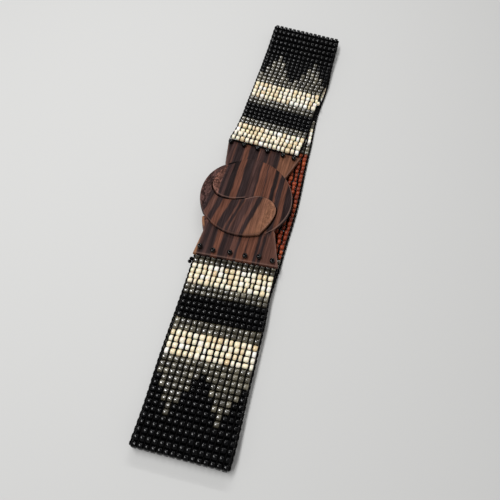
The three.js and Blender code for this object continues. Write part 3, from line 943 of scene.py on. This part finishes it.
def hook_top(which):
    """Top of a hook: it leans up to its head, domes there, and its tail ramps down."""
    side = PLATES[which].side
    line, rim = hook_edges(which)

    def height(flat):
        x, y = flat.T
        from_line = distance_to(flat, line, closed=False)
        from_rim = distance_to(flat, rim, closed=False)
        head = ease((side * x - HEAD_START[which]) / HEAD_RUN)
        full = BOARD_THICKNESS + RELIEF_THICKNESS + side * HOOK_LEAN * x
        ramp = BOARD_THICKNESS + HOOK_RAMP * (RAMP_FOOT - side * y)
        if which == "lower":
            merged = ease((y - MERGE_START) / (MERGE_FULL - MERGE_START)) * (x < 0)
            head = head * (1 - merged)
            near_line = merged * ease(1 - from_line / MERGE_REACH)
            tail = BOARD_THICKNESS + HOOK_RAMP * (RAMP_FOOT - y)
            full = full - near_line * np.maximum(full - tail, 0)
        full = full - dome(from_rim, **RIM_DOME) - head * dome(from_line, **HEAD_DOME)
        line_rounding = LEVEL_LINE_ROUNDING + head * (LINE_ROUNDING - LEVEL_LINE_ROUNDING)
        edges = rounded(from_rim, RIM_ROUNDING) + rounded(from_line, line_rounding)
        return smooth_least(full, ramp, RAMP_BLEND) - edges

    return height


def hook_bottom(which):
    """Underside of a hook: sunk in its own foot, and just above the other half's foot."""
    side = PLATES[which].side
    line = curve_points(FOOT_LINE, DISC_RADIUS - FOOT_SETBACK, 0.0, steps=FOOT_LINE_STEPS)

    def height(flat):
        x, y = flat.T
        middle = np.interp(x, line[:, 0], line[:, 1])
        over_own_foot = side * (y - middle) > PIECE_GAP
        return np.where(over_own_foot, HOOK_ROOT_HEIGHT, BOARD_THICKNESS + PIECE_GAP)

    return height


def set_painted_light(item, which, foot, hook):
    """Gives each point how strongly a painted highlight pales it, or as less than 0 how dark painted
    shade makes it, low on a hook's wall.
    """
    points = np.array([tuple(v.co) for v in item.data.vertices]) - np.array(SHIFT)
    in_clasp = (points / MM - np.array(CLASP.translation)) @ np.array(CLASP.to_3x3())
    flat, height = in_clasp[:, :2], in_clasp[:, 2]
    line, rim = hook

    def edge_highlight(outline, closed, most):
        distance = distance_to(flat, outline, closed)
        return most * np.clip(1 - np.abs(distance / HIGHLIGHT_REACH - 1), 0, 1)

    x, y = flat.T
    rim_most = RIM_HIGHLIGHT + RIGHT_RIM_HIGHLIGHT * ease((x - RIGHT_RIM_START) / RIGHT_RIM_RUN)
    line_most = LINE_HIGHLIGHT * (PLATES[which].side * x > 0) * (y < MERGE_START)
    hook_light_and_shade = np.maximum(edge_highlight(rim, False, rim_most), edge_highlight(line, False, line_most))
    over_joint = height > BOARD_THICKNESS + PIECE_GAP + HEIGHT_MARGIN
    # Painted shade: points low on a hook's wall, down by the feet, get -1 and are darkened
    hook_light_and_shade = np.where(over_joint, hook_light_and_shade, -1)
    foot_highlight = edge_highlight(foot, True, LINE_HIGHLIGHT) * (height > BOARD_THICKNESS - FOOT_HIGHLIGHT_DEPTH)
    is_hook = height > BOARD_THICKNESS + HEIGHT_MARGIN
    set_attribute(item, "painted_light", np.where(is_hook, hook_light_and_shade, foot_highlight))


def clasp_half(which, material):
    """One half of the clasp, its foot and hook joined and its cord holes cut."""
    outline = foot_outline(which)

    def edge(flat):
        return rounded(distance_to(flat, outline), BOARD_ROUNDING)

    foot = shell(outline, lambda flat: BOARD_THICKNESS - edge(flat), edge, BOARD_ROUNDING)
    edges = hook_edges(which)
    hook = shell(np.concatenate(edges), hook_top(which), hook_bottom(which), RIM_ROUNDING)
    holes = [drill(x, y) for x, y in hole_places(which)]
    whole = union_pieces(f"wood_half_{which}", [foot, hook], holes, material)
    set_painted_light(whole, which, outline, edges)
    return whole


def drill(x, y):
    """A round bar through a plate where a cord passes, as points and faces."""
    points = [
        (x + CORD_HOLE_RADIUS * math.cos(t), y + CORD_HOLE_RADIUS * math.sin(t), z)
        for z in (-BOARD_THICKNESS, 2 * BOARD_THICKNESS) for t in circle(DRILL_SIDES)]
    return points, ring_faces(2, DRILL_SIDES, closed=False)


def union_pieces(name, shells, holes, material):
    """One closed body from overlapping ones, with the holes cut out."""
    items = [
        make_object(f"{name}_{i}", from_clasp(points), faces, material)
        for i, (points, faces) in enumerate([*shells, *holes])]
    base, *others = items
    for i, other in enumerate(others, start=1):
        modifier = base.modifiers.new("join", "BOOLEAN")
        modifier.operation = "UNION" if i < len(shells) else "DIFFERENCE"
        modifier.solver = "MANIFOLD"
        modifier.object = other
    graph = bpy.context.evaluated_depsgraph_get()
    mesh = bpy.data.meshes.new_from_object(base.evaluated_get(graph))
    for item in items:
        bpy.data.objects.remove(item)
    mesh.name = name
    mesh.shade_smooth()
    mesh.set_sharp_from_angle(angle=math.radians(SHARP_DEGREES))
    mesh.materials.clear()
    mesh.materials.append(material)
    whole = add_object(name, mesh)
    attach(whole, BODY)
    return whole


def make_stop_beads(which, material):
    """The round black beads that stop the cords, each in place of its solid."""
    template, faces = bead(
        STOP_HEIGHT, STOP_DIAMETER, STOP_HOLE_RADIUS, STOP_ROUNDNESS,
        STOP_PROFILE_STEPS, STOP_SIDES)
    for number, (x, y) in enumerate(hole_places(which), start=1):
        points = from_clasp(template[:, [1, 2, 0]] + (x, y, STOP_MIDDLE))
        item = make_object(
            f"stop_bead_glass_{which}_{number}", points, faces, material)
        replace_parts(item, f"stop_bead_{which}_{number}")


# Materials


def srgb(red, green, blue):
    """Linear colour from display values of 0 to 255."""
    def linear(value):
        value /= 255
        return value / 12.92 if value <= 0.04045 else ((value + 0.055) / 1.055) ** 2.4
    return (linear(red), linear(green), linear(blue), 1)


class Surface:
    """A Principled material with short ways to add nodes to it."""

    def __init__(self, name, **constants):
        self.material = bpy.data.materials.new(name)
        self.material.use_nodes = True
        self.tree = self.material.node_tree
        self.shader = self.tree.nodes["Principled BSDF"]
        for key, value in constants.items():
            self.shader.inputs[key.replace("_", " ")].default_value = value

    def node(self, kind, inputs=(), **settings):
        node = self.tree.nodes.new(kind)
        for key, value in settings.items():
            setattr(node, key, value)
        for key, value in dict(inputs).items():
            if isinstance(value, bpy.types.NodeSocket):
                self.tree.links.new(value, node.inputs[key])
            else:
                node.inputs[key].default_value = value
        return node

    def math(self, operation, a, b=0.0, c=0.0):
        return self.node(
            "ShaderNodeMath", {0: a, 1: b, 2: c}, operation=operation).outputs[0]

    def noise(self, vector, scale, detail=2.0, roughness=0.5, distortion=0.0):
        return self.node("ShaderNodeTexNoise", {
            "Vector": vector, "Scale": scale, "Detail": detail,
            "Roughness": roughness, "Distortion": distortion}).outputs["Fac"]

    def ramp(self, factor, stops):
        node = self.node("ShaderNodeValToRGB", {"Fac": factor})
        elements = node.color_ramp.elements
        while len(elements) < len(stops):
            elements.new(0.5)
        for element, (place, colour) in zip(elements, stops):
            element.position = place
            element.color = colour
        return node.outputs["Color"]

    def map_range(self, value, low, high, to_low=0.0, to_high=1.0):
        return self.node("ShaderNodeMapRange", {
            "Value": value, "From Min": low, "From Max": high,
            "To Min": to_low, "To Max": to_high}).outputs["Result"]

    def mix(self, factor, a, b, blend="MIX"):
        """Mixes two colours; 6, 7 and 2 are the node's colour sockets."""
        node = self.node(
            "ShaderNodeMix", {0: factor, 6: a, 7: b}, data_type="RGBA", blend_type=blend)
        return node.outputs[2]

    def shade(self, colour, factor):
        grey = self.node("ShaderNodeCombineColor", {0: factor, 1: factor, 2: factor})
        return self.mix(1.0, colour, grey.outputs[0], "MULTIPLY")

    def place(self):
        return self.node("ShaderNodeTexCoord").outputs["Object"]

    def attribute(self, name):
        return self.node("ShaderNodeAttribute", attribute_name=name).outputs["Fac"]

    def connect(self, socket, key):
        self.tree.links.new(socket, self.shader.inputs[key])

    def bump(self, height, strength):
        normal = self.node("ShaderNodeBump", {
            "Height": height, "Strength": strength, "Distance": BUMP_DEPTH}).outputs["Normal"]
        self.connect(normal, "Normal")


def glass_bead_surface(name, tones, roughness, **constants):
    """Glass that varies from bead to bead, with a faint ripple."""
    surface = Surface(name, **constants)
    stops = [(i / (len(tones) - 1), srgb(*rgb)) for i, rgb in enumerate(tones)]
    colour = surface.ramp(surface.attribute("tone"), stops)
    place = surface.place()
    cloud = surface.noise(place, CLOUD_SCALE)
    shade = surface.map_range(cloud, *CLOUD_RANGE, *CLOUD_SHADES)
    surface.connect(surface.shade(colour, shade), "Base Color")
    surface.connect(surface.map_range(cloud, *CLOUD_RANGE, *roughness), "Roughness")
    surface.bump(surface.noise(place, RIPPLE_SCALE), strength=0.12)
    return surface.material


def thread_surface():
    """Twisted black thread."""
    surface = Surface("black_thread", Roughness=0.7, Specular_IOR_Level=0.04)
    fibre = surface.noise(surface.place(), THREAD_FIBRE_SCALE, detail=3.0)
    stops = [(0.0, srgb(3, 3, 3)), (1.0, srgb(15, 14, 15))]
    surface.connect(surface.ramp(fibre, stops), "Base Color")
    surface.bump(fibre, strength=0.5)
    return surface.material


def wood_surface(which):
    """Striped wood: stripes along Y, warped a little, with streaks, curls, fibres, painted
    highlights and shade.
    """
    surface = Surface(f"striped_wood_{which}", Specular_IOR_Level=0.03)
    tones = {tone: srgb(*rgb) for tone, rgb in WOOD_TONES.items()}
    centre = Vector((*DISC_CENTRE, 0)) + SHIFT / MM
    place = surface.node("ShaderNodeMapping", {
        "Vector": surface.place(), "Scale": (1 / MM, 1 / MM, 1 / MM), "Location": -centre,
    }).outputs["Vector"]
    axes = surface.node("ShaderNodeSeparateXYZ", {"Vector": place}).outputs
    x, y = axes["X"], axes["Y"]

    def stretched(along):
        return surface.node("ShaderNodeMapping", {
            "Vector": place, "Scale": (1, along, along)}).outputs["Vector"]

    def stripes(table, across):
        stops = [
            ((edge + WOOD_SPAN) / (2 * WOOD_SPAN), tones[tone])
            for start, end, tone in WOOD_STRIPES[table] for edge in (start, end)]
        return surface.ramp(surface.map_range(across, -WOOD_SPAN, WOOD_SPAN), stops)

    wavy_x = x
    for warp in WARPS:
        noise = surface.noise(stretched(warp.stretch), warp.scale, detail=warp.detail)
        start_x = surface.math("ADD", wavy_x, -warp.reach / 2)
        wavy_x = surface.math("MULTIPLY_ADD", noise, warp.reach, start_x)
    slant = HOOK_SLANTS[which]
    slanted = surface.math(
        "MULTIPLY_ADD", y, -slant, surface.math("ADD", wavy_x, slant * HOOK_MIDDLES[which]))
    side = PLATES[which].side
    join = HOOK_JOINS[which]
    plate_share = surface.map_range(y, join - side * JOIN_BLUR, join + side * JOIN_BLUR)
    colour = surface.mix(
        plate_share, stripes(f"{which} hook", slanted), stripes(f"{which} plate", wavy_x))

    for grain in GRAINS:
        fibres = surface.noise(
            stretched(grain.stretch), grain.scale, GRAIN_DETAIL, grain.roughness)
        colour = surface.shade(colour, surface.map_range(fibres, *grain.shades))

    curls = surface.noise(stretched(0.6), 0.42, detail=3.0, roughness=0.7, distortion=2.0)
    curl_shade = surface.map_range(curls, *CURL_SHADES)
    hook_share = surface.math("SUBTRACT", 1.0, plate_share)
    for curl in CURLS[which]:
        across = surface.map_range(x, curl.start, curl.end, 0.0, curl.strength)
        amount = surface.math("MULTIPLY", across, hook_share)
        colour = surface.mix(amount, colour, surface.shade(colour, curl_shade))
    # Painted highlight: pale strips on the lower half's left side, which faces the light
    for line in LIT_EDGE_STRIPS[which]:
        border = surface.math("MULTIPLY_ADD", y, line.lean, x)
        inside = surface.map_range(
            border, line.reach + PALE_SIDE_BLUR, line.reach - PALE_SIDE_BLUR)
        start = surface.map_range(y, line.top + PALE_END_OVERSHOOT, line.top - PALE_END_FADE)
        end = surface.map_range(y, line.bottom - PALE_END_OVERSHOOT, line.bottom + PALE_END_FADE)
        amount = surface.math("MULTIPLY", surface.math("MULTIPLY", start, end), inside)
        colour = surface.mix(amount, colour, tones["edge"])
    # Painted highlights pale the rims, the carved line's lip and the feet's edges; painted shade
    # darkens the hooks' walls low down
    painted_light = surface.attribute("painted_light")
    colour = surface.mix(surface.math("MAXIMUM", painted_light, 0.0), colour, tones["edge_highlight"])
    colour = surface.shade(colour, surface.map_range(painted_light, *PAINTED_WALL_SHADES))
    surface.connect(colour, "Base Color")
    surface.connect(surface.map_range(fibres, *WOOD_ROUGHNESS), "Roughness")
    surface.bump(fibres, strength=0.2)
    return surface.material


# Making the belt
BEAD_SURFACES = {
    "black": glass_bead_surface(
        "black_glass", [(3, 3, 4), (7, 7, 9), (5, 5, 6)], (0.1, 0.16),
        Specular_IOR_Level=0.19),
    "clear": glass_bead_surface(
        "clear_grey_glass", [(72, 67, 53), (98, 92, 74), (55, 51, 41), (136, 129, 108)],
        (0.17, 0.28), Transmission_Weight=0.3, IOR=1.65, Specular_IOR_Level=0.9),
    "cream": glass_bead_surface(
        "cream_glass",
        [(222, 196, 152), (247, 232, 196), (252, 243, 218), (242, 222, 180), (255, 254, 247),
         (249, 236, 203), (254, 248, 228)],
        (0.16, 0.26), Subsurface_Weight=0.1, Subsurface_Scale=0.0008),
    "red": glass_bead_surface(
        "orange_red_glass", [(132, 52, 28), (154, 66, 36), (112, 44, 25), (172, 82, 46)],
        (0.3, 0.42), Specular_IOR_Level=0.25),
}
THREAD = thread_surface()
STOP_GLASS = glass_bead_surface(
    "stop_black_glass", [(4, 4, 5), (8, 8, 9)], (0.1, 0.18), Specular_IOR_Level=0.3)
WOOD = {half: wood_surface(half) for half in PLATES}

# No red bead is in the front layer, so that piece is None
band_pieces = [
    make_beads(bead_colour, bead_layer, BEAD_SURFACES[bead_colour])
    for bead_colour in BEAD_KINDS for bead_layer in ("front", "back")]
make_stray_bead(BEAD_SURFACES["cream"])
make_cords(THREAD)
make_row_threads(THREAD)
make_edges(THREAD)
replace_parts(band_pieces[0], "beaded_band")

for half in PLATES:
    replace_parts(clasp_half(half, WOOD[half]), f"clasp_half_{half}")
    make_stop_beads(half, STOP_GLASS)


# Floor and lights, in metres, and camera
FLOOR_REACH = 3.0
FLOOR_COLOUR = srgb(207, 207, 206)
WORLD_COLOUR = (1.0, 0.995, 0.985, 1)
WORLD_BRIGHTNESS = 0.27


def make_floor():
    surface = Surface(
        "pale_floor", Base_Color=FLOOR_COLOUR, Roughness=0.9, Specular_IOR_Level=0.15)
    mesh = bpy.data.meshes.new("floor")
    corners = [(-1, -1), (1, -1), (1, 1), (-1, 1)]
    mesh.from_pydata(
        [(x * FLOOR_REACH, y * FLOOR_REACH, 0) for x, y in corners], [], [(0, 1, 2, 3)])
    mesh.materials.append(surface.material)
    floor = add_object("floor", mesh)


def make_light(name, place, width, height, power):
    """An oval light that looks at the belt's middle."""
    light = bpy.data.lights.new(name, "AREA")
    light.shape = "ELLIPSE"
    light.size = width
    light.size_y = height
    light.energy = power
    item = add_object(name, light)
    item.location = place
    item.rotation_euler = (-Vector(place)).to_track_quat("-Z", "Y").to_euler()


def make_world():
    world = bpy.data.worlds.new("studio")
    world.use_nodes = True
    background = world.node_tree.nodes["Background"]
    background.inputs["Color"].default_value = WORLD_COLOUR
    background.inputs["Strength"].default_value = WORLD_BRIGHTNESS
    bpy.context.scene.world = world


# Where the photo was taken from, in belt coordinates, worked out from the belt's four corners
CAMERA_PLACE = (34.67, -183.98, 299.96)
CAMERA_RIGHT = Vector((0.9665, 0.2550, 0.0286))
CAMERA_FORWARD = Vector((-0.0868, 0.4295, -0.8989))
SENSOR_WIDTH = 36.0
FOCAL_PIXELS = 460.0
IMAGE_PIXELS = 500.0
CLIP_START = 0.01


def make_camera():
    camera = bpy.data.cameras.new("camera")
    camera.sensor_width = SENSOR_WIDTH
    camera.lens = SENSOR_WIDTH * FOCAL_PIXELS / IMAGE_PIXELS
    camera.clip_start = CLIP_START
    item = add_object("camera", camera)
    right = CAMERA_RIGHT.normalized()
    forward = (CAMERA_FORWARD - CAMERA_FORWARD.dot(right) * right).normalized()
    up = right.cross(forward)
    turn = Matrix((right, up, -forward)).transposed()
    item.matrix_world = Matrix.Translation(Vector(CAMERA_PLACE) * MM + SHIFT) @ turn.to_4x4()
    bpy.context.scene.camera = item


bpy.context.scene.view_settings.view_transform = "Standard"
make_floor()
make_world()
make_light("softbox", place=(-0.27, -0.06, 0.89), width=0.9, height=0.16, power=6.9)
make_light("far strip", place=(-0.1, 0.85, 0.85), width=0.9, height=0.06, power=3.3)
make_camera()
